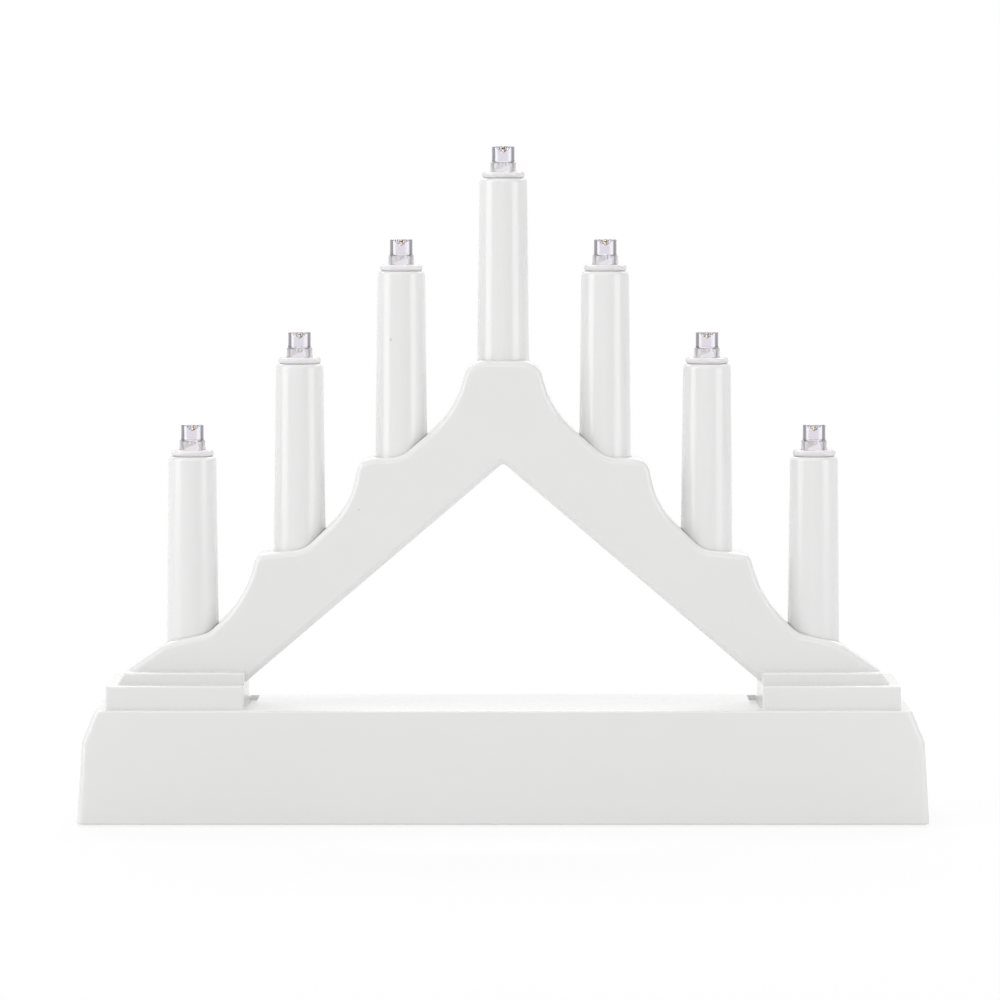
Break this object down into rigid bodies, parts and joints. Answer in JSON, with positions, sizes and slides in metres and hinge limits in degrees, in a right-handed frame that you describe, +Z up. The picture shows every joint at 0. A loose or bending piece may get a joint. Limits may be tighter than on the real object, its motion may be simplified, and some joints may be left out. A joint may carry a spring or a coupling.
{
  "type": "candle arch",
  "caption": "Battery candle arch: a scalloped stepped arch on a bevelled box base carries tube candles that are tipped with clear flat-topped LEDs.",
  "frame": {"origin": "centre of the base on the standing surface, under the foot pads", "axes": "+X along the base to the viewer's right, +Y to the back of the base where the switch is, +Z up"},
  "size_m": [0.1834, 0.04, 0.1461],
  "materials": {
    "white_plastic": "glossy white moulded plastic",
    "candle_plastic": "glossy white moulded plastic",
    "clear_plastic": "clear moulded plastic",
    "led_resin": "clear cast resin",
    "lead_steel": "tinned",
    "phosphor_gel": "set gel",
    "pad_rubber": "matt",
    "screw_steel": "zinc plated",
    "cell_jacket": "plain printed jacket",
    "contact_nickel": "nickel plated",
    "board_green": "solder mask",
    "component_black": "matt",
    "switch_metal": "stamped",
    "knob_plastic": "matt",
    "wire_red": "satin insulation",
    "wire_black": "satin insulation"
  },
  "bodies": {
    "lamp": {"base_housing": "white_plastic", "bottom_plate": "white_plastic", "foot_pads": "pad_rubber", "plate_screws": "screw_steel", "board_screws": "screw_steel", "battery_front": "cell_jacket", "battery_rear": "cell_jacket", "positive_contact": "contact_nickel", "negative_contact": "contact_nickel", "bridge_contact": "contact_nickel", "circuit_board": "board_green", "board_parts": "component_black", "switch_body": "switch_metal", "arch_front_shell": "white_plastic", "arch_rear_shell": "white_plastic", "positive_wire": "wire_red", "negative_wire": "wire_black", "battery_wires": "wire_red", "candle_tube_1": "candle_plastic", "candle_tube_2": "candle_plastic", "candle_tube_3": "candle_plastic", "candle_tube_4": "candle_plastic", "candle_tube_5": "candle_plastic", "candle_tube_6": "candle_plastic", "candle_tube_7": "candle_plastic", "led_collar_1": "clear_plastic", "led_collar_2": "clear_plastic", "led_collar_3": "clear_plastic", "led_collar_4": "clear_plastic", "led_collar_5": "clear_plastic", "led_collar_6": "clear_plastic", "led_collar_7": "clear_plastic", "led_1": "led_resin", "led_2": "led_resin", "led_3": "led_resin", "led_4": "led_resin", "led_5": "led_resin", "led_6": "led_resin", "led_7": "led_resin", "led_leads_1": "lead_steel", "led_leads_2": "lead_steel", "led_leads_3": "lead_steel", "led_leads_4": "lead_steel", "led_leads_5": "lead_steel", "led_leads_6": "lead_steel", "led_leads_7": "lead_steel", "led_chip_1": "phosphor_gel", "led_chip_2": "phosphor_gel", "led_chip_3": "phosphor_gel", "led_chip_4": "phosphor_gel", "led_chip_5": "phosphor_gel", "led_chip_6": "phosphor_gel", "led_chip_7": "phosphor_gel"},
    "battery_door": {"battery_door": "white_plastic", "door_screws": "screw_steel"},
    "switch_knob": {"switch_knob": "knob_plastic"}
  },
  "joints": [
    {"name": "battery_door_lift", "type": "slide", "parent": "lamp", "child": "battery_door", "axis": [0, 0, -1], "range_m": [0, 0.025]},
    {"name": "switch_slide", "type": "slide", "parent": "lamp", "child": "switch_knob", "axis": [1, 0, 0], "range_m": [0, 0.003]}
  ]
}
